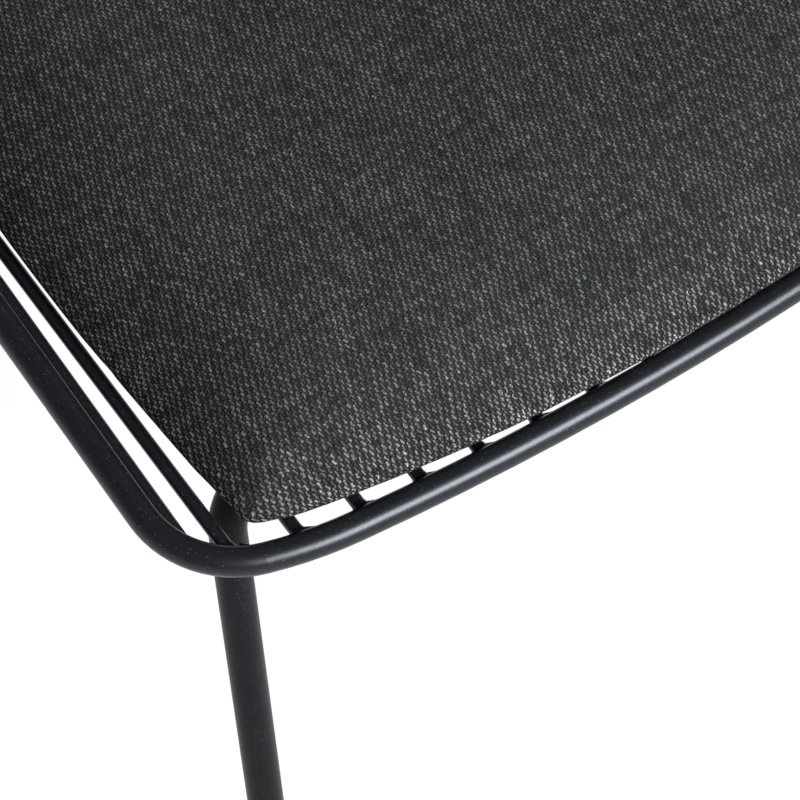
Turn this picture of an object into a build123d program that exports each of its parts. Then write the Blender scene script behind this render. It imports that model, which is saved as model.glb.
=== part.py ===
from build123d import *
from math import acos, asin, atan2, cos, degrees, hypot, radians, sin, sqrt, tan
import os

# A metal dining armchair. A ring of round bar carries straight seat wires, a leaning back of wires and
# two bent arms, and stands on two hoops of bent tube. A loose crowned pad lies on the seat wires.
# Millimetres and degrees. The chair faces -Y, with X = 0 on its middle plane and the floor at Z = 0.

# Seat ring of round bar
rail_diameter = 12.4
rail_height = 425.0          # the ring's axis above the floor
seat_width = 489.0           # widest, axis to axis, at the front corners
seat_depth = 440.0           # middle of the front rail to middle of the rear rail, axis to axis
front_bow_radius = 1390.0
ease_radius = 184.0          # eases the bowed front into its corners
ease_angle = 11.9
front_corner_radius = 43.5
side_taper = 1.1             # each side rail runs inwards to the back by this angle
rear_bow_radius = 700.0
rear_corner_radius = 40.0

# Seat wires, back wires and edge wires, all cut from one wire
wire_diameter = 6.0
wire_pitch = 26.4
seat_wire_count = 18
back_wire_count = 16
wire_drop = 2.6              # seat wires' axis below the ring's axis
edge_wire_drop = 4.2         # edge wires' axis below the ring's axis
edge_wire_end = 300.0        # edge wires' rear end behind the front rail's middle
weld_gap = 0.05              # root gap of a weld between rods that only touch
saddle_share = 0.2           # a butting rod starts this share of the met bar's radius from its axis

# Back
back_rise = 365.0            # the top rail's axis above the ring's axis
back_lean = 13.0
top_bow_radius = 700.0
top_corner_radius = 45.0
cross_rod_rise = 175.0       # the cross rod's axis above the ring's axis
cross_rod_overhang = 8.0     # past the outer back wires

# Arms
arm_diameter = 12.0
arm_rise = 215.0             # the arm's axis above the ring's axis
arm_flare = 30.0             # the arm's front bend outside its foot
arm_rake = 15.0              # the arm's front bend ahead of its foot
arm_foot_setback = 200.0     # the arm's foot behind the front rail's middle
arm_rear_reach = 53.0        # the rear bend ahead of the arm's end on the upright
arm_tuck = 4.0               # the rear bend inside the front bend
arm_bend_radius = 60.0

# Leg hoops of round tube
leg_diameter = 16.0
leg_wall = 1.5
leg_bend_radius = 39.0
leg_splay = 2.5              # outwards, each leg
front_hoop_width = 413.0     # between the leg axes at the cross tube
front_hoop_setback = 65.8    # the cross tube behind the front rail's middle
front_leg_lean = 8.5         # forwards
rear_hoop_width = 400.0
rear_hoop_setback = 350.0
rear_leg_lean = 15.0         # backwards

# Foot glides
glide_diameter = 19.0
glide_height = 8.0           # tube end above the floor, along the leg's middle
glide_stem = 18.0
glide_blank = 24.0           # the collar's length before its foot is cut flat
glide_clearance = 0.1        # between the stem and the tube's bore

# Weld beads
bead_reach_share = 0.5       # along the rod from the face it meets, as a share of the rod's diameter
bead_flare_share = 0.25      # past the rod's surface at its wide end
bead_lip_share = 0.03        # past the rod's surface at its thin end
bead_root_share = 0.6        # a bead starts this share of the met bar's radius from its axis
run_length_share = 1.6       # a front bead's run along the rail, as a share of the wire's diameter
run_root_share = 0.55        # the run's radius at the wire
run_tip_share = 0.12         # the run's radius at its far end
hoop_bead_radius = 2.6
bead_sink = 1.0              # depth of a hoop bead into the wire and the tube, under the tube's wall

# Seat pad
pad_clearance = 0.3          # above the seat wires
pad_front_lap = 2.2          # the fullest front edge laps the front rail's rear by this much
pad_front_corner_inset = 30.0    # front corners inside the ring's half width
pad_front_corner_setback = 29.5  # front corners behind the front rail's middle
pad_side_inset = 22.8        # fullest point of each side inside the ring's half width
pad_rear_corner_inset = 38.5
pad_rear_corner_margin = 52.0    # rear corners ahead of the rear rail's middle
pad_rear_margin = 14.0       # middle of the rear edge ahead of the rear rail's middle
pad_corner_radius = 7.0
pad_foot_inset = 8.0         # the sides draw in by this much at the foot
pad_full_height = 9.0        # the fullest outline above the pad's foot
pad_thickness = 32.5         # at the crown
pad_crown_inset = 135.0      # the crown's level top inside the fullest outline
pad_crown_power = 1.6        # higher for a flatter top and a tighter edge
pad_profile_step = 15        # degrees between outlines, from the fullest outline to the crown
cover_thickness = 1.4
cover_ease = 0.1             # between the cover and the foam

rail_radius = rail_diameter / 2
wire_radius = wire_diameter / 2
leg_radius = leg_diameter / 2
half_width = seat_width / 2


def mirrored(point):
    """The same point on the other side of the chair."""
    return Vector(-point.X, point.Y, point.Z)


def turned(centre, radius, angle):
    """Point of a plan circle, with the angle measured from straight ahead round to +X."""
    return centre + radius * Vector(sin(radians(angle)), -cos(radians(angle)), 0)


def arc_about(centre, start, end):
    """Arc of under a half circle about a centre."""
    towards_middle = ((start - centre) + (end - centre)).normalized()
    return ThreePointArc(start, centre + (start - centre).length * towards_middle, end)


def rod(path, diameter, bore=0.0):
    """Round bar, or tube where it has a bore, along a path."""
    section = Circle(diameter / 2)
    if bore:
        section -= Circle(bore / 2)
    return sweep(Plane(origin=path @ 0, z_dir=path % 0) * section, path=path).solid()


def cut(solid, *others):
    """What is left of a solid once its neighbours are taken out of it."""
    for other in others:
        solid = solid - other
    return solid.solid()


def butting_rod(start, end, diameter, *met):
    """Straight rod saddled on the bar at its start and, where it meets a second bar, on that at its end."""
    saddle = (end - start).normalized() * (rail_radius * saddle_share)
    last = end - saddle if len(met) > 1 else end
    return cut(rod(Line(start + saddle, last), diameter), *met)


def left_and_right(solid):
    """A piece of the right side and its twin on the left."""
    return {"left": mirror(solid, about=Plane.YZ), "right": solid}


def bead(point, direction, rod_diameter, met_radius, *neighbours, along=None):
    """Weld collar round a rod where it leaves a bar through point. Its run tapers off along the bar."""
    foot = point + direction * (met_radius * bead_root_share)
    height = met_radius * (1 - bead_root_share) + rod_diameter * bead_reach_share
    wide = rod_diameter * (0.5 + bead_flare_share)
    thin = rod_diameter * (0.5 + bead_lip_share)
    upwards = (Align.CENTER, Align.CENTER, Align.MIN)
    weld = Plane(origin=foot, z_dir=direction) * Cone(wide, thin, height, align=upwards)
    if along is not None:
        away = (direction - along * direction.dot(along)).normalized()
        root, tip, length = [rod_diameter * share for share in (run_root_share, run_tip_share, run_length_share)]
        weld += Plane(origin=point + away * met_radius, z_dir=along) * Cone(root, tip, length, align=upwards)
    return cut(weld, *neighbours)


# Plan of the ring's right half: bowed front, easing arc, corner, side line, rear corner, bowed rear
bow = front_bow_radius - ease_radius
ease = ease_radius - front_corner_radius
swing_x = bow + ease * cos(radians(ease_angle))
swing_y = ease * sin(radians(ease_angle))
front_sine = (half_width - front_corner_radius) / hypot(swing_x, swing_y)
front_angle = degrees(asin(front_sine) - atan2(swing_y, swing_x))
front_centre = Vector(0, front_bow_radius, rail_height)
front_end = turned(front_centre, front_bow_radius, front_angle)
ease_centre = turned(front_centre, bow, front_angle)
ease_end = turned(ease_centre, ease_radius, front_angle + ease_angle)
corner_centre = turned(ease_centre, ease, front_angle + ease_angle)
side_start = turned(corner_centre, front_corner_radius, 90 + side_taper)

side_way = Vector(-sin(radians(side_taper)), cos(radians(side_taper)), 0)
inward = Vector(-side_way.Y, side_way.X, 0)
rear_centre = Vector(0, seat_depth - rear_bow_radius, rail_height)
rear_swing = rear_bow_radius - rear_corner_radius
offset = side_start + inward * rear_corner_radius - rear_centre
along = offset.dot(side_way)
side_end = side_start + side_way * (sqrt(along**2 - offset.length**2 + rear_swing**2) - along)
rear_corner_centre = side_end + inward * rear_corner_radius
rear_end = rear_centre + (rear_corner_centre - rear_centre).normalized() * rear_bow_radius


def front_axis(x):
    """Front rail's axis at a distance x from the middle plane."""
    if abs(x) <= front_end.X:
        y = front_centre.Y - sqrt(front_bow_radius**2 - x**2)
    elif abs(x) <= ease_end.X:
        y = ease_centre.Y - sqrt(ease_radius**2 - (abs(x) - ease_centre.X)**2)
    else:
        y = corner_centre.Y - sqrt(front_corner_radius**2 - (abs(x) - corner_centre.X)**2)
    return Vector(x, y, rail_height)


def rear_axis(x):
    """Rear rail's axis at a distance x from the middle plane."""
    if abs(x) <= rear_end.X:
        y = rear_centre.Y + sqrt(rear_bow_radius**2 - x**2)
    else:
        y = rear_corner_centre.Y + sqrt(rear_corner_radius**2 - (abs(x) - rear_corner_centre.X)**2)
    return Vector(x, y, rail_height)


def side_axis(setback):
    """Right side rail's axis at a distance behind the front rail's middle."""
    return side_start + side_way * ((setback - side_start.Y) / side_way.Y)


# Seat ring: front rail with its corners, two side rails, rear rail with its corners
front_rail = rod(
    Wire([
        arc_about(mirrored(corner_centre), mirrored(side_start), mirrored(ease_end)),
        arc_about(mirrored(ease_centre), mirrored(ease_end), mirrored(front_end)),
        ThreePointArc(mirrored(front_end), Vector(0, 0, rail_height), front_end),
        arc_about(ease_centre, front_end, ease_end),
        arc_about(corner_centre, ease_end, side_start),
    ]),
    rail_diameter,
)
rear_rail = rod(
    Wire([
        arc_about(mirrored(rear_corner_centre), mirrored(side_end), mirrored(rear_end)),
        ThreePointArc(mirrored(rear_end), Vector(0, seat_depth, rail_height), rear_end),
        arc_about(rear_corner_centre, rear_end, side_end),
    ]),
    rail_diameter,
)
side_rails = left_and_right(rod(Line(side_start, side_end), rail_diameter))

# Seat wires butt on the inner faces of the front and rear rails
wire_plane = Vector(0, 0, -wire_drop)


def wire_places(count):
    """Distances of evenly pitched wires from the middle plane, on the right side."""
    return [(i - (count - 1) / 2) * wire_pitch for i in range(count // 2, count)]


def left_to_right(places, solids):
    """The right side's pieces with their twins, from left to right. One on the middle plane has no twin."""
    twins = [mirror(solid, about=Plane.YZ) for x, solid in zip(places, solids) if x > 0]
    return twins[::-1] + solids


seat_places = wire_places(seat_wire_count)
seat_wires = []
front_wire_beads = []
rear_wire_beads = []
for x in seat_places:
    start = front_axis(x) + wire_plane
    end = rear_axis(x) + wire_plane
    wire = butting_rod(start, end, wire_diameter, front_rail, rear_rail)
    seat_wires.append(wire)
    to_middle = (front_axis(x - wire_radius) - front_axis(x + wire_radius)).normalized()
    front_wire_beads.append(
        bead(start, Vector(0, 1, 0), wire_diameter, rail_radius, front_rail, wire, along=to_middle)
    )
    rear_wire_beads.append(bead(end, Vector(0, -1, 0), wire_diameter, rail_radius, rear_rail, wire))

# Edge wires lie against the inner side of the side rails and end on the front corners
edge_drop = Vector(0, 0, -edge_wire_drop)
edge_reach = sqrt((rail_radius + wire_radius + weld_gap)**2 - edge_wire_drop**2)
edge_shift = edge_drop + inward * edge_reach
edge_front = side_axis(corner_centre.Y - front_corner_radius / 2) + edge_shift
edge_rear = side_axis(edge_wire_end) + edge_shift
edge_wires = left_and_right(butting_rod(edge_front, edge_rear, wire_diameter, front_rail))

# Back: uprights stand on the rear corners, the top rail turns down into them
lean_way = Vector(0, sin(radians(back_lean)), cos(radians(back_lean)))
corner_out = ((side_end - rear_corner_centre) + (rear_end - rear_corner_centre)).normalized()
upright_foot = rear_corner_centre + corner_out * rear_corner_radius
top_vertex = upright_foot + lean_way * (back_rise / lean_way.Z)
bow_sine = top_vertex.X / top_bow_radius
for _ in range(20):
    top_way = Vector(-sqrt(1 - bow_sine**2), bow_sine, 0)
    top_tangent = top_corner_radius * tan(acos(lean_way.dot(top_way)) / 2)
    bow_sine = (top_vertex.X + top_tangent * top_way.X) / top_bow_radius
top_start = top_vertex - lean_way * top_tangent
top_end = top_vertex + top_way * top_tangent
top_inward = (top_way - lean_way * lean_way.dot(top_way)).normalized()
top_corner_centre = top_start + top_inward * top_corner_radius
top_centre = Vector(0, top_end.Y - sqrt(top_bow_radius**2 - top_end.X**2), top_end.Z)


def top_axis(x):
    """Top rail's axis at a distance x from the middle plane, on its bow or its corners."""
    if abs(x) <= top_end.X:
        return Vector(x, top_centre.Y + sqrt(top_bow_radius**2 - x**2), top_end.Z)
    turn = acos((top_corner_centre.X - abs(x)) / (top_corner_radius * top_inward.X))
    point = top_corner_centre - top_inward * (top_corner_radius * cos(turn))
    point += lean_way * (top_corner_radius * sin(turn))
    return Vector(x, point.Y, point.Z)


top_rail = rod(
    Wire([
        arc_about(mirrored(top_corner_centre), mirrored(top_start), mirrored(top_end)),
        ThreePointArc(mirrored(top_end), top_axis(0), top_end),
        arc_about(top_corner_centre, top_end, top_start),
    ]),
    rail_diameter,
)
upright = butting_rod(upright_foot, top_start, rail_diameter, rear_rail)
uprights = left_and_right(upright)
frame_beads = [bead(upright_foot, lean_way, rail_diameter, rail_radius, rear_rail, upright)]

# Back wires butt on the rear rail and the top rail
back_places = wire_places(back_wire_count)
back_wires = []
back_foot_beads = []
back_top_beads = []
for x in back_places:
    start = rear_axis(x)
    end = top_axis(x)
    way = (end - start).normalized()
    wire = butting_rod(start, end, wire_diameter, rear_rail, top_rail)
    back_wires.append(wire)
    back_foot_beads.append(bead(start, way, wire_diameter, rail_radius, rear_rail, wire))
    back_top_beads.append(bead(end, way * -1, wire_diameter, rail_radius, top_rail, wire))


# Cross rod ties the back wires together from behind
def back_wire_axis(x, rise):
    """Back wire's axis at a height above the ring."""
    start = rear_axis(x)
    way = top_axis(x) - start
    return start + way * (rise / way.Z)


outer_x = back_places[-1]
behind = (wire_diameter + weld_gap) / cos(radians(back_lean))
cross_middle = back_wire_axis(0, cross_rod_rise) + Vector(0, behind, 0)
cross_outer = back_wire_axis(outer_x, cross_rod_rise) + Vector(0, behind, 0)
cross_sag = cross_middle.Y - cross_outer.Y
cross_radius = (outer_x**2 + cross_sag**2) / (2 * cross_sag)
cross_end_x = outer_x + cross_rod_overhang
cross_end_y = cross_middle.Y - cross_radius + sqrt(cross_radius**2 - cross_end_x**2)
cross_end = Vector(cross_end_x, cross_end_y, cross_middle.Z)
back_cross_rod = cut(
    rod(ThreePointArc(mirrored(cross_end), cross_middle, cross_end), wire_diameter),
    *left_to_right(back_places, back_wires),
)

# Arms rise from the side rails, run back level and turn in to the uprights
arm_foot = side_axis(arm_foot_setback)
front_bend = arm_foot + Vector(arm_flare, -arm_rake, arm_rise)
arm_end = upright_foot + lean_way * (arm_rise / lean_way.Z)
rear_bend = Vector(front_bend.X - arm_tuck, arm_end.Y - arm_rear_reach, arm_end.Z)
rising = (front_bend - arm_foot).normalized()
leaving = (rear_bend - arm_end).normalized()
saddle = rail_radius * saddle_share
arm_path = FilletPolyline(
    arm_foot + rising * saddle, front_bend, rear_bend, arm_end + leaving * saddle, radius=arm_bend_radius
)
arm = cut(rod(arm_path, arm_diameter), side_rails["right"], upright)
arms = left_and_right(arm)
frame_beads.append(bead(arm_foot, rising, arm_diameter, rail_radius, side_rails["right"], arm))
frame_beads.append(bead(arm_end, leaving, arm_diameter, rail_radius, upright, arm))

# Leg hoops: the cross tube carries the seat wires from below, glides plug the tube ends
hoop_height = rail_height - wire_drop - wire_radius - weld_gap - leg_radius
leg_bore = leg_diameter - 2 * leg_wall
foot_glides = []


def glide(tube_end, leg_way):
    """Plastic plug: a stem in the tube's bore and a collar cut flat on the floor."""
    flat = Plane(origin=tube_end, z_dir=leg_way)
    down = (Align.CENTER, Align.CENTER, Align.MIN)
    up = (Align.CENTER, Align.CENTER, Align.MAX)
    collar = flat * Cylinder(glide_diameter / 2, glide_blank, align=down)
    stem = flat * Cylinder(leg_bore / 2 - glide_clearance, glide_stem, align=up)
    under_floor = Pos(tube_end.X, tube_end.Y, 0) * Box(3 * glide_blank, 3 * glide_blank, glide_blank, align=up)
    return (collar + stem - under_floor).solid()


def leg_hoop(width, setback, lean):
    """Inverted U of tube; lean is towards the back."""
    corner = Vector(width / 2, setback, hoop_height)
    leg_way = Vector(tan(radians(leg_splay)), tan(radians(lean)), -1)
    foot = corner + leg_way * (hoop_height - glide_height)
    path = FilletPolyline(mirrored(foot), mirrored(corner), corner, foot, radius=leg_bend_radius)
    foot_glides.append(glide(mirrored(foot), mirrored(leg_way).normalized()))
    foot_glides.append(glide(foot, leg_way.normalized()))
    return rod(path, leg_diameter, leg_bore)


front_leg_hoop = leg_hoop(front_hoop_width, front_hoop_setback, -front_leg_lean)
rear_leg_hoop = leg_hoop(rear_hoop_width, rear_hoop_setback, rear_leg_lean)

# Tack beads beside each seat wire that crosses a hoop's straight cross tube
hoop_beads = []
for hoop, width, setback in (
    (front_leg_hoop, front_hoop_width, front_hoop_setback),
    (rear_leg_hoop, rear_hoop_width, rear_hoop_setback),
):
    straight = width / 2 - leg_bend_radius - wire_diameter
    for x, wire in zip(seat_places, seat_wires):
        if x < straight:
            beside = x + wire_radius + hoop_bead_radius - bead_sink
            above = hoop_height + leg_radius + hoop_bead_radius - bead_sink
            hoop_beads.append(cut(Pos(beside, setback, above) * Sphere(hoop_bead_radius), hoop, wire))

# Seat pad: crowned, with a full rounded edge and sides that draw in towards the wires
pad_base = rail_height - wire_drop + wire_radius + pad_clearance
pad_front = rail_radius - pad_front_lap
pad_middle_setback = seat_depth / 2


def pad_outline(inset, height):
    """Plan outline of the pad at a height, drawn in from the fullest outline by inset."""
    front_x = half_width - pad_front_corner_inset - inset
    side_x = half_width - pad_side_inset - inset
    rear_x = half_width - pad_rear_corner_inset - inset
    front_y = pad_front_corner_setback + inset
    rear_y = seat_depth - pad_rear_corner_margin - inset
    front_right = Vector(front_x, front_y, height)
    rear_right = Vector(rear_x, rear_y, height)
    side_right = Vector(side_x, pad_middle_setback, height)
    front_middle = Vector(0, pad_front + inset, height)
    rear_middle = Vector(0, seat_depth - pad_rear_margin - inset, height)
    outline = Wire([
        ThreePointArc(mirrored(front_right), front_middle, front_right),
        ThreePointArc(front_right, side_right, rear_right),
        ThreePointArc(rear_right, rear_middle, mirrored(rear_right)),
        ThreePointArc(mirrored(rear_right), mirrored(side_right), mirrored(front_right)),
    ])
    return Face(outline.fillet_2d(pad_corner_radius, outline.vertices()))


def pad_form(skin):
    """The pad drawn in all round by a skin thickness: a rounded foot, then a rounded edge and a crown."""
    outlines = []
    for turn in (90, 45):
        inset = pad_foot_inset * (1 - cos(radians(turn)))
        outlines.append((inset, pad_full_height * (1 - sin(radians(turn)))))
    for turn in range(0, 91, pad_profile_step):
        inset = pad_crown_inset * (1 - cos(radians(turn)))**pad_crown_power
        outlines.append((inset, pad_full_height + (pad_thickness - pad_full_height) * sin(radians(turn))))
    squeeze = 1 - 2 * skin / pad_thickness
    faces = [pad_outline(inset + skin, pad_base + skin + rise * squeeze) for inset, rise in outlines]
    return loft(faces, ruled=True).solid()


cushion_cover = pad_form(0) - pad_form(cover_thickness)
cushion_foam = pad_form(cover_thickness + cover_ease)

# Every piece under its own name; like beads and the glides are groups of separate solids
nodes = {
    "front_rail": front_rail,
    "rear_rail": rear_rail,
    "top_rail": top_rail,
    "back_cross_rod": back_cross_rod,
    "front_leg_hoop": front_leg_hoop,
    "rear_leg_hoop": rear_leg_hoop,
    "foot_glides": Compound(foot_glides),
    "front_wire_beads": Compound(left_to_right(seat_places, front_wire_beads)),
    "rear_wire_beads": Compound(left_to_right(seat_places, rear_wire_beads)),
    "back_foot_beads": Compound(left_to_right(back_places, back_foot_beads)),
    "back_top_beads": Compound(left_to_right(back_places, back_top_beads)),
    "hoop_beads": Compound(hoop_beads + [mirror(one, about=Plane.YZ) for one in hoop_beads]),
    "frame_beads": Compound(frame_beads + [mirror(one, about=Plane.YZ) for one in frame_beads]),
    "cushion_cover": cushion_cover,
    "cushion_foam": cushion_foam,
}
pairs = {"side_rail": side_rails, "edge_wire": edge_wires, "back_upright": uprights, "arm": arms}
for piece, pair in pairs.items():
    for side, solid in pair.items():
        nodes[f"{piece}_{side}"] = solid
rows = {"seat_wire": (seat_places, seat_wires), "back_wire": (back_places, back_wires)}
for piece, (places, wires) in rows.items():
    for i, wire in enumerate(left_to_right(places, wires), start=1):
        nodes[f"{piece}_{i:02d}"] = wire

# The origin lies on the floor under the middle of the whole chair
whole = Compound(list(nodes.values())).bounding_box()
to_origin = Pos(-whole.center().X, -whole.center().Y, -whole.min.Z)
os.makedirs("parts", exist_ok=True)
for name, shape in nodes.items():
    export_step(to_origin * shape, f"parts/{name}.step")
print(f"{len(nodes)} nodes, overall {whole.size.X:.1f} x {whole.size.Y:.1f} x {whole.size.Z:.1f} mm")
print(f"front rail's middle at y = {-whole.center().Y:.2f} mm")
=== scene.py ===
import math

import bmesh
import bpy
import numpy as np
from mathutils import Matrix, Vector


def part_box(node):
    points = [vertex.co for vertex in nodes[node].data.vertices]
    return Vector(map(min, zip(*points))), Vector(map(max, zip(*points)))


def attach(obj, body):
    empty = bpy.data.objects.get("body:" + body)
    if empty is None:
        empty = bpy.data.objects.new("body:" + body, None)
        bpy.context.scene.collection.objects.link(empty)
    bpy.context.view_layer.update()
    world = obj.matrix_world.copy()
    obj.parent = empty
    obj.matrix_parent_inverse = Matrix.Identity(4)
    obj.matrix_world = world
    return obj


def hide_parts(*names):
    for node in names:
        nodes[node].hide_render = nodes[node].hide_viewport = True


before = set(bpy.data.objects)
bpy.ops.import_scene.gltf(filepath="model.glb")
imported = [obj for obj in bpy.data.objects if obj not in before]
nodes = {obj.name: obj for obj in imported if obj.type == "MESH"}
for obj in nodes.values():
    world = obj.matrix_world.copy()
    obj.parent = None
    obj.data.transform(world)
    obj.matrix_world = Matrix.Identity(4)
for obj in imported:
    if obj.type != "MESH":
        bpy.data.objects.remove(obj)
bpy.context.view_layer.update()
scene = bpy.context.scene
scene.view_settings.view_transform = "Standard"


# Steel frame: bent round bar, straight wires and tube hoops, welded into one piece and sprayed with a
# satin black polyester powder, which is baked on. It flows into a fine orange peel with a few grains,
# painted in as lighter specks that stand for glints.
def add_node(tree, kind, inputs=None, **settings):
    """Adds one shader node with its settings, and links or sets its sockets."""
    made = tree.nodes.new(kind)
    for setting, value in settings.items():
        setattr(made, setting, value)
    for socket, value in (inputs or {}).items():
        if isinstance(value, bpy.types.NodeSocket):
            tree.links.new(value, made.inputs[socket])
        else:
            made.inputs[socket].default_value = value
    return made


def linear(hex_colour):
    """An sRGB hex colour as linear RGBA."""
    channels = [int(hex_colour[i:i + 2], 16) / 255 for i in (1, 3, 5)]
    return [c / 12.92 if c <= 0.04045 else ((c + 0.055) / 1.055) ** 2.4 for c in channels] + [1.0]


def new_material(name):
    """An empty node material and its Principled shader, already linked to the output."""
    material = bpy.data.materials.new(name)
    material.use_nodes = True
    tree = material.node_tree
    shader = tree.nodes["Principled BSDF"]
    return material, tree, shader


def dress(node_names, material):
    """Gives CAD nodes one material, in every slot they have."""
    for name in node_names:
        mesh = nodes[name].data
        if not mesh.materials:
            mesh.materials.append(material)
        for i in range(len(mesh.materials)):
            mesh.materials[i] = material


def powder_coat(name, grain_mm, peel_depth_mm, specular=0.4):
    """Baked powder: near black, with an orange peel in the gloss and sparse lighter specks painted in as
    glints.
    """
    flow_mm = 22                 # the film's shade drifts slowly
    painted_glint_spacing_mm = 2.2 * grain_mm
    painted_glint_edge = 0.13            # a painted glint's edge and its core, in shares of that spacing
    painted_glint_core = 0.06
    peel_noise = (0.3, 0.7)
    peel_roughness = (0.29, 0.37)
    peel_strength = 0.35
    polyester_ior = 1.5
    material, tree, shader = new_material(name)
    place = add_node(tree, "ShaderNodeTexCoord").outputs["Object"]
    peel = add_node(
        tree, "ShaderNodeTexNoise",
        {"Vector": place, "Scale": 1000 / grain_mm, "Detail": 2.0, "Roughness": 0.55},
    ).outputs["Fac"]
    flow = add_node(
        tree, "ShaderNodeTexNoise", {"Vector": place, "Scale": 1000 / flow_mm, "Detail": 2.0},
    ).outputs["Fac"]
    grain = add_node(
        tree, "ShaderNodeTexVoronoi", {"Vector": place, "Scale": 1000 / painted_glint_spacing_mm},
    ).outputs["Distance"]
    painted_glint = add_node(
        tree, "ShaderNodeMapRange", {"Value": grain, "From Min": painted_glint_edge, "From Max": painted_glint_core},
    ).outputs["Result"]
    body = add_node(
        tree, "ShaderNodeMix", {0: flow, 6: linear("#0b0c0e"), 7: linear("#141518")}, data_type="RGBA",
    ).outputs[2]
    # Painted glints: sparse lighter dots in the colour, where the grainy coat would sparkle.
    colour = add_node(
        tree, "ShaderNodeMix", {0: painted_glint, 6: body, 7: linear("#606266")}, data_type="RGBA",
    ).outputs[2]
    gloss = add_node(
        tree, "ShaderNodeMapRange",
        {
            "Value": peel, "From Min": peel_noise[0], "From Max": peel_noise[1],
            "To Min": peel_roughness[0], "To Max": peel_roughness[1],
        },
    ).outputs["Result"]
    bump = add_node(
        tree, "ShaderNodeBump",
        {"Height": peel, "Strength": peel_strength, "Distance": peel_depth_mm / 1000},
    ).outputs["Normal"]
    tree.links.new(colour, shader.inputs["Base Color"])
    tree.links.new(gloss, shader.inputs["Roughness"])
    tree.links.new(bump, shader.inputs["Normal"])
    shader.inputs["IOR"].default_value = polyester_ior
    shader.inputs["Specular IOR Level"].default_value = specular
    shader.inputs["Specular Tint"].default_value = linear("#e6eefa")
    return material


weld_names = [name for name in nodes if name.endswith("_beads")]
pad_names = ["cushion_cover", "cushion_foam"]
hoop_names = ["front_leg_hoop", "rear_leg_hoop"]
others = weld_names + pad_names + hoop_names + ["foot_glides"]
steel_names = [name for name in nodes if name not in others]
dress(steel_names, powder_coat("satin_black_powder_coat", grain_mm=0.7, peel_depth_mm=0.05))


# Leg hoops: bent steel tube, welded under the seat wires. They carry the same powder, laid on thinner,
# so that it dries to a duller film.
dress(hoop_names, powder_coat("dull_black_powder_coat", grain_mm=0.7, peel_depth_mm=0.05, specular=0.045))


# Weld beads: small ragged collars of weld metal at every joint, under the same powder. The bead's
# ripples stay visible through the coat.
dress(weld_names, powder_coat("black_powder_coat_over_weld", grain_mm=1.3, peel_depth_mm=0.5))


# Foot glides: moulded black polyethylene plugs, pressed into the tube ends and cut flat on the floor.
# Moulded plastic is a little greyer and duller than the powder, and scuffed at the foot.
mould_texture_mm = 0.5
mould_depth_mm = 0.05
mould_strength = 0.3
mould_roughness = 0.55
scuff_height = 0.0025
glide_material, tree, shader = new_material("moulded_black_polyethylene")
place = add_node(tree, "ShaderNodeTexCoord").outputs["Object"]
texture = add_node(
    tree, "ShaderNodeTexNoise", {"Vector": place, "Scale": 1000 / mould_texture_mm, "Detail": 3.0},
).outputs["Fac"]
height = add_node(tree, "ShaderNodeSeparateXYZ", {"Vector": place}).outputs["Z"]
scuff = add_node(
    tree, "ShaderNodeMapRange", {"Value": height, "From Min": scuff_height, "From Max": 0.0},
).outputs["Result"]
worn = add_node(tree, "ShaderNodeMath", {0: scuff, 1: texture}, operation="MULTIPLY").outputs[0]
colour = add_node(
    tree, "ShaderNodeMix", {0: worn, 6: linear("#1b1b1d"), 7: linear("#4b4a48")}, data_type="RGBA",
).outputs[2]
bump = add_node(
    tree, "ShaderNodeBump",
    {"Height": texture, "Strength": mould_strength, "Distance": mould_depth_mm / 1000},
).outputs["Normal"]
tree.links.new(colour, shader.inputs["Base Color"])
tree.links.new(bump, shader.inputs["Normal"])
shader.inputs["Roughness"].default_value = mould_roughness
dress(["foot_glides"], glide_material)


# Seat pad: a loose foam cushion in a sewn cover of charcoal woven cloth. The cover is full over the
# crown, rolls over the edge and is flat below, where it lies on the seat wires.
pad_merge = 1e-5
pad_voxel = 0.0042
pad_cover_outset = 0.0033    # the cover's outside from the foam, with what the even mesh rounds off
pad_full_height = 0.009      # the fullest outline above the pad's foot
pad_slack_crown = 0.75       # share of the crown's height that is left before it swells up
pad_pressure = 4.0
pad_sim_frames = 20
pad_swell_limit = 0.005
pad_smoothing = 70           # rounds that ease puckers and the shoulder out of the crown
pad_smooth_share = 0.5
pad_corner_draw = 0.004      # the sewn corners are drawn back by their seams, most at the foot
pad_corner_reach = 0.025
pad_corner_slant = 0.2       # they are drawn back mostly along the chair, and this much across it
pad_corner_fade = 1.5        # the drawing ends at this share of the full height above the corner
pad_corner_point = 0.003     # the seams' end stands out as a soft point
pad_point_reach = 0.011
pad_under_facing = -0.7      # faces that look down more than this are the lower panel
pad_top_facing = 0.95        # faces that look up more than this set the threads' direction

pad = bpy.data.objects.new("seat_pad", nodes["cushion_foam"].data.copy())
scene.collection.objects.link(pad)
pad_foot_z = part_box("cushion_cover")[0].z
pad_full_z = pad_foot_z + pad_full_height
shape = bmesh.new()
shape.from_mesh(pad.data)
bmesh.ops.remove_doubles(shape, verts=shape.verts, dist=pad_merge)
shape.normal_update()
for vert in shape.verts:
    vert.co += vert.normal * pad_cover_outset
    if vert.co.z > pad_full_z:
        vert.co.z = pad_full_z + (vert.co.z - pad_full_z) * pad_slack_crown
shape.to_mesh(pad.data)
shape.free()


def settle(piece):
    """Applies a piece's modifiers to its mesh."""
    ready = piece.evaluated_get(bpy.context.evaluated_depsgraph_get())
    piece.data = bpy.data.meshes.new_from_object(ready)
    piece.modifiers.clear()


even = pad.modifiers.new("even_mesh", "REMESH")
even.mode = "VOXEL"
even.voxel_size = pad_voxel
settle(pad)
for vert in pad.data.vertices:
    vert.co.z = max(vert.co.z, pad_foot_z)

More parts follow.
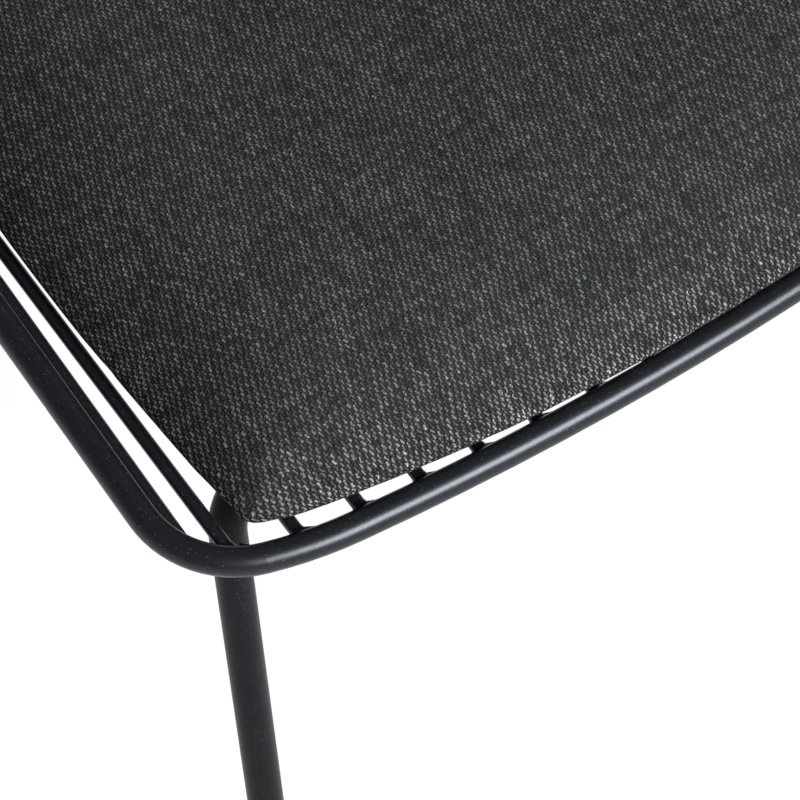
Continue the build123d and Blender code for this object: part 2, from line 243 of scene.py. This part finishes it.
start = [vert.co.copy() for vert in pad.data.vertices]
held = pad.vertex_groups.new(name="held_edge")
held.add([vert.index for vert in pad.data.vertices if vert.co.z < pad_full_z], 1.0, "ADD")
cloth = pad.modifiers.new("swelling", "CLOTH")
cloth.settings.vertex_group_mass = "held_edge"
cloth.settings.use_pressure = True
cloth.settings.uniform_pressure_force = pad_pressure
cloth.settings.effector_weights.gravity = 0.0
for step in range(1, pad_sim_frames + 1):
    scene.frame_set(step)
settle(pad)
scene.frame_set(1)
for vert, before in zip(pad.data.vertices, start):
    moved = vert.co - before
    if moved.length > pad_swell_limit:
        vert.co = before + moved.normalized() * pad_swell_limit

eased = bmesh.new()
eased.from_mesh(pad.data)
for _ in range(pad_smoothing):
    above = [vert for vert in eased.verts if vert.co.z > pad_full_z]
    bmesh.ops.smooth_vert(
        eased, verts=above, factor=pad_smooth_share, use_axis_x=True, use_axis_y=True, use_axis_z=True,
    )
eased.to_mesh(pad.data)
eased.free()
for side, end in ((-1, -1), (1, -1), (1, 1), (-1, 1)):
    outward = Vector((side, end, 0)).normalized()
    drawn = Vector((pad_corner_slant * side, end, 0)).normalized()
    tip = max(pad.data.vertices, key=lambda vert: vert.co.dot(outward)).co.copy()
    for vert in pad.data.vertices:
        reach = (vert.co - tip).xy.length / pad_corner_reach
        low = min(1.0, max(0.0, pad_corner_fade - (vert.co.z - tip.z) / pad_full_height))
        point = (vert.co - tip).length / pad_point_reach
        if reach < 1:
            vert.co -= drawn * (pad_corner_draw * low * (1 - reach) ** 2)
        if point < 1:
            vert.co += outward * (pad_corner_point * (1 - point))

# The cloth's threads follow the cover: the pad is cut along its foot and laid flat, at true size
flat_shape = bmesh.new()
flat_shape.from_mesh(pad.data)
flat_shape.normal_update()
for face in flat_shape.faces:
    face.smooth = True
for edge in flat_shape.edges:
    edge.seam = sum(face.normal.z < pad_under_facing for face in edge.link_faces) == 1
flat_shape.to_mesh(pad.data)
flat_shape.free()
pad.data.uv_layers.new(name="threads")
bpy.context.view_layer.objects.active = pad
pad.select_set(True)
bpy.ops.object.mode_set(mode="EDIT")
bpy.ops.mesh.select_all(action="SELECT")
bpy.ops.uv.unwrap(method="ANGLE_BASED", margin=0.01)
bpy.ops.object.mode_set(mode="OBJECT")
corners = np.array([pad.data.vertices[loop.vertex_index].co for loop in pad.data.loops])
flat = np.empty(2 * len(pad.data.loops))
pad.data.uv_layers["threads"].data.foreach_get("uv", flat)
flat = flat[0::2] + 1j * flat[1::2]
facing_up = np.zeros(len(pad.data.loops), bool)
for polygon in pad.data.polygons:
    if polygon.normal.z > pad_top_facing:
        facing_up[list(polygon.loop_indices)] = True
plan = corners[:, 0] + 1j * corners[:, 1]
flat_middle = flat[facing_up].mean()
plan_middle = plan[facing_up].mean()
spread = flat[facing_up] - flat_middle
turn = np.vdot(spread, plan[facing_up] - plan_middle) / np.vdot(spread, spread)
flat = (flat - flat_middle) * turn + plan_middle
threads = np.column_stack([flat.real, flat.imag]).ravel()
pad.data.uv_layers["threads"].data.foreach_set("uv", threads)

smooth = pad.modifiers.new("smooth_cloth", "SUBSURF")
smooth.levels = 1
smooth.render_levels = 1

# Woven polypropylene in a plain weave. The eye sees rows of small matt lumps, where a thick thread
# rises over a fine one. Their colour is lighter on the crowns, as painted light, and darker in the gaps
# between them, as painted shade, with short lighter fibres on top.
warp_pitch_mm = 1.31         # fine threads, front to back
weft_pitch_mm = 2.27         # thick threads, side to side
warp_skew = 0.19             # the cloth is pulled a little off square
weft_skew = 0.07
thread_depth_mm = 0.6
sway_mm = 1.6                # the threads stray this far, over longer and shorter stretches
sway_lengths_mm = (11, 2.4)
pad_cloth, tree, shader = new_material("charcoal_woven_polypropylene")
threads_map = add_node(tree, "ShaderNodeUVMap", uv_map="threads").outputs["UV"]
drift = threads_map
for length_mm in sway_lengths_mm:
    wander = add_node(
        tree, "ShaderNodeTexNoise", {"Vector": threads_map, "Scale": 1000 / length_mm, "Detail": 1.0},
    ).outputs["Color"]
    wander = add_node(
        tree, "ShaderNodeVectorMath", {0: wander, 1: (0.5, 0.5, 0.5)}, operation="SUBTRACT",
    ).outputs[0]
    drift = add_node(
        tree, "ShaderNodeVectorMath", {0: wander, 1: (sway_mm / 1000, sway_mm / 1000, 0.0), 2: drift},
        operation="MULTIPLY_ADD",
    ).outputs[0]
counts = []
for across in (
    (1000 / warp_pitch_mm, 1000 / warp_pitch_mm * warp_skew, 0.0),
    (1000 / weft_pitch_mm * weft_skew, 1000 / weft_pitch_mm, 0.0),
):
    count = add_node(tree, "ShaderNodeVectorMath", {0: drift, 1: across}, operation="DOT_PRODUCT")
    counts.append(count.outputs["Value"])
warp_count, weft_count = counts

# The lumps are a sum of waves. Each has its half turns per warp and per weft thread, and its strength
# The strengths are uneven, so that each lump is painted lighter on one side and darker on the other, as
# painted shading from one direction.
lump_waves = ((1, -1, 0.58), (1, 1, -0.42), (1, -3, 0.2), (1, 3, -0.14), (2, 0, -0.4))
lump_range = (-0.75, 0.85)   # the sum at the bottom of a gap and on a thread's crown
lump = 0.0
for warp_share, weft_share, strength in lump_waves:
    turns = add_node(
        tree, "ShaderNodeMath", {0: weft_count, 1: weft_share * math.pi}, operation="MULTIPLY",
    ).outputs[0]
    turns = add_node(
        tree, "ShaderNodeMath", {0: warp_count, 1: warp_share * math.pi, 2: turns}, operation="MULTIPLY_ADD",
    ).outputs[0]
    wave = add_node(tree, "ShaderNodeMath", {0: turns}, operation="COSINE").outputs[0]
    lump = add_node(
        tree, "ShaderNodeMath", {0: wave, 1: strength, 2: lump}, operation="MULTIPLY_ADD",
    ).outputs[0]
weave = add_node(
    tree, "ShaderNodeMapRange", {"Value": lump, "From Min": lump_range[0], "From Max": lump_range[1]},
    interpolation_type="SMOOTHSTEP",
).outputs["Result"]

# Each lump has a brightness of its own. The lumps of a row are two warp threads apart, and each row
# starts one thread further along
lump_brightness = (0.3, 1.7)
row = add_node(tree, "ShaderNodeMath", {0: weft_count}, operation="FLOOR").outputs[0]
brick = add_node(tree, "ShaderNodeMath", {0: warp_count, 1: row}, operation="ADD").outputs[0]
brick = add_node(tree, "ShaderNodeMath", {0: brick, 1: 0.5, 2: 0.25}, operation="MULTIPLY_ADD").outputs[0]
brick = add_node(tree, "ShaderNodeMath", {0: brick}, operation="FLOOR").outputs[0]
cell = add_node(tree, "ShaderNodeCombineXYZ", {0: brick, 1: row}).outputs[0]
lot = add_node(tree, "ShaderNodeTexWhiteNoise", {"Vector": cell}, noise_dimensions="2D").outputs["Value"]
bright = add_node(
    tree, "ShaderNodeMapRange",
    {"Value": lot, "To Min": lump_brightness[0], "To Max": lump_brightness[1]},
).outputs["Result"]
# Painted light and shade: the crowns are painted lighter than the gaps between the lumps, in place of the
# weave's relief.
crown = add_node(tree, "ShaderNodeMath", {0: weave, 1: bright}, operation="MULTIPLY").outputs[0]

# Fibres: short lighter fibres, with painted glints on them. Real ones are finer, and these are drawn as
# coarse as they need to be to show
fibre_width_mm = 0.45
fibre_length_mm = 1.1
fibre_noise = (0.36, 0.68)
fibre_brightness = (0.25, 2.1)
fibre_relief = 0.4           # height of a fibre against the height of a lump
strand = add_node(
    tree, "ShaderNodeVectorMath", {0: drift, 1: (1000 / fibre_width_mm, 1000 / fibre_length_mm, 1.0)},
    operation="MULTIPLY",
).outputs[0]
fibre = add_node(
    tree, "ShaderNodeTexNoise", {"Vector": strand, "Scale": 1.0, "Detail": 2.0},
).outputs["Fac"]
glint = add_node(
    tree, "ShaderNodeMapRange",
    {
        "Value": fibre, "From Min": fibre_noise[0], "From Max": fibre_noise[1],
        "To Min": fibre_brightness[0], "To Max": fibre_brightness[1],
    },
).outputs["Result"]
# The fibres' bright marks are partly lighter fibre and partly painted glints.
crown = add_node(tree, "ShaderNodeMath", {0: crown, 1: glint}, operation="MULTIPLY").outputs[0]

# Where the cover turns down, its gaps open and are painted darker, as painted shade. The front roll is
# painted lighter, as painted light from the front
gap_facing = (0.88, 0.99)    # how far the cloth looks up, from open gaps to closed ones
painted_gap_brightness = (0.03, 0.37)
crown_brightness = 1.2
roll_back = (0.3, 0.95, 0.0)   # the front roll looks away from this direction
roll_facing = (-0.55, -0.28)   # from the roll to the top
painted_roll_brightness = (2.04, 0.79)
facing = add_node(tree, "ShaderNodeTexCoord").outputs["Normal"]
upward = add_node(tree, "ShaderNodeSeparateXYZ", {0: facing}).outputs["Z"]
# Painted shade: the gaps are darker where the cloth turns down, and lighter on the flat top.
gap = add_node(
    tree, "ShaderNodeMapRange",
    {
        "Value": upward, "From Min": gap_facing[0], "From Max": gap_facing[1],
        "To Min": painted_gap_brightness[0], "To Max": painted_gap_brightness[1],
    },
).outputs["Result"]
# Painted light: the front roll, which faces the light in front, is painted lighter than the top.
slope = add_node(
    tree, "ShaderNodeVectorMath", {0: facing, 1: roll_back}, operation="DOT_PRODUCT",
).outputs["Value"]
painted_roll_light = add_node(
    tree, "ShaderNodeMapRange",
    {
        "Value": slope, "From Min": roll_facing[0], "From Max": roll_facing[1],
        "To Min": painted_roll_brightness[0], "To Max": painted_roll_brightness[1],
    },
).outputs["Result"]
shade = add_node(
    tree, "ShaderNodeMath", {0: crown, 1: crown_brightness, 2: gap}, operation="MULTIPLY_ADD",
).outputs[0]
shade = add_node(tree, "ShaderNodeMath", {0: shade, 1: painted_roll_light}, operation="MULTIPLY").outputs[0]

# Slubs: long stretches of thicker or thinner thread, which run both ways through the cloth
slub_length_mm = 60
slub_width_mm = 3
slub_noise = (0.7, 1.3)
slub_brightness = (0.65, 1.35)
streak = 0.0
for along_mm, over_mm in ((slub_length_mm, slub_width_mm), (slub_width_mm, slub_length_mm)):
    stretched = add_node(
        tree, "ShaderNodeVectorMath", {0: threads_map, 1: (1000 / along_mm, 1000 / over_mm, 1.0)},
        operation="MULTIPLY",
    ).outputs[0]
    slub = add_node(
        tree, "ShaderNodeTexNoise", {"Vector": stretched, "Scale": 1.0, "Detail": 2.0},
    ).outputs["Fac"]
    streak = add_node(tree, "ShaderNodeMath", {0: slub, 1: streak}, operation="ADD").outputs[0]
streak = add_node(
    tree, "ShaderNodeMapRange",
    {
        "Value": streak, "From Min": slub_noise[0], "From Max": slub_noise[1],
        "To Min": slub_brightness[0], "To Max": slub_brightness[1],
    },
).outputs["Result"]
shade = add_node(tree, "ShaderNodeMath", {0: shade, 1: streak}, operation="MULTIPLY").outputs[0]

# Dye and finish: two near charcoals in soft patches, dry to the eye
dye_patch_mm = 14
cloth_roughness = 0.72
cloth_specular = 0.12
dye = add_node(
    tree, "ShaderNodeTexNoise", {"Vector": threads_map, "Scale": 1000 / dye_patch_mm, "Detail": 3.0},
).outputs["Fac"]
yarn = add_node(
    tree, "ShaderNodeMix", {0: dye, 6: linear("#333937"), 7: linear("#3e3c3c")}, data_type="RGBA",
).outputs[2]
colour = add_node(
    tree, "ShaderNodeVectorMath", {0: yarn, "Scale": shade}, operation="SCALE",
).outputs[0]
relief = add_node(
    tree, "ShaderNodeMath", {0: fibre, 1: fibre_relief, 2: weave}, operation="MULTIPLY_ADD",
).outputs[0]
bump = add_node(
    tree, "ShaderNodeBump", {"Height": relief, "Strength": 1.0, "Distance": thread_depth_mm / 1000},
).outputs["Normal"]
tree.links.new(colour, shader.inputs["Base Color"])
tree.links.new(bump, shader.inputs["Normal"])
shader.inputs["Roughness"].default_value = cloth_roughness
shader.inputs["Specular IOR Level"].default_value = cloth_specular
pad.data.materials.clear()
pad.data.materials.append(pad_cloth)
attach(pad, "seat_cushion")
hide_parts("cushion_cover", "cushion_foam")


# Floor: a plain matt white sweep. Seen straight on or in a reflection it is close to paper white, and
# it keeps a soft shadow of the chair.
floor_half = 30.0
paper_roughness = 0.9
paper_own_white = 0.92       # share of plain white in what is seen, the rest takes light and shadow
floor_shape = bmesh.new()
bmesh.ops.create_grid(floor_shape, x_segments=1, y_segments=1, size=floor_half)
floor_mesh = bpy.data.meshes.new("floor")
floor_shape.to_mesh(floor_mesh)
floor_shape.free()
floor = bpy.data.objects.new("floor", floor_mesh)
scene.collection.objects.link(floor)
paper, tree, shader = new_material("matt_white_paper")
shader.inputs["Base Color"].default_value = linear("#f2f2f2")
shader.inputs["Roughness"].default_value = paper_roughness
ray = add_node(tree, "ShaderNodeLightPath")
seen = add_node(
    tree, "ShaderNodeMath",
    {0: ray.outputs["Is Camera Ray"], 1: ray.outputs["Is Glossy Ray"]}, operation="MAXIMUM",
).outputs[0]
seen = add_node(
    tree, "ShaderNodeMath", {0: seen, 1: ray.outputs["Is Transmission Ray"]}, operation="MAXIMUM",
).outputs[0]
share = add_node(tree, "ShaderNodeMath", {0: seen, 1: paper_own_white}, operation="MULTIPLY").outputs[0]
white = add_node(tree, "ShaderNodeEmission", {"Color": linear("#ffffff"), "Strength": 1.0})
mixed = add_node(
    tree, "ShaderNodeMixShader", {0: share, 1: shader.outputs[0], 2: white.outputs[0]},
)
tree.links.new(mixed.outputs[0], tree.nodes["Material Output"].inputs["Surface"])
floor_mesh.materials.append(paper)


# Room: a studio with white walls low down and a dim ceiling, so that the round bars carry the light's
# own highlight and stay black above it.
room_heights = (0.02, 0.35, 0.85)
room_levels = (0.4, 0.28, 0.14)
room = bpy.data.worlds.new("studio_room")
scene.world = room
room.use_nodes = True
tree = room.node_tree
toward = add_node(tree, "ShaderNodeTexCoord").outputs["Generated"]
rise = add_node(tree, "ShaderNodeSeparateXYZ", {0: toward}).outputs["Z"]
wall = add_node(tree, "ShaderNodeValToRGB", {"Fac": rise})
wall.color_ramp.elements.new(room_heights[1])
for mark, height, level in zip(wall.color_ramp.elements, room_heights, room_levels):
    mark.position = height
    mark.color = (level, level, level, 1.0)
tree.links.new(wall.outputs["Color"], tree.nodes["Background"].inputs["Color"])


# Studio light: one soft box in front and above, a little to the right. It is aimed at the seat's
# front edge and lays one soft streak along the round bars.
key_target = Vector((0.0, -0.15, 0.43))
key_direction = Vector((0.105, -0.784, 0.612))
key_distance = 1.9
key_light = bpy.data.lights.new("key", "AREA")
key_light.shape = "RECTANGLE"
key_light.size = 1.3
key_light.size_y = 0.9
key_light.energy = 100.0
key_light.color = linear("#ffffff")[:3]
key = bpy.data.objects.new("key", key_light)
scene.collection.objects.link(key)
key.location = key_target + key_direction.normalized() * key_distance
key.rotation_euler = (key_target - key.location).to_track_quat("-Z", "Y").to_euler()


# Camera: a long lens close above the seat's front left corner. Its place was fitted to the edges of
# the rails, the wires and the leg.
camera_lens_mm = 187.5
camera_sensor_mm = 36.0
camera_target = Vector((-0.1327, -0.2099, 0.425))
camera_place = Vector((-0.5845, -0.8613, 1.8653))
camera_data = bpy.data.cameras.new("camera")
camera_data.sensor_width = camera_sensor_mm
camera_data.lens = camera_lens_mm
camera = bpy.data.objects.new("camera", camera_data)
scene.collection.objects.link(camera)
camera.location = camera_place
camera.rotation_euler = (camera_target - camera_place).to_track_quat("-Z", "Y").to_euler()
scene.camera = camera
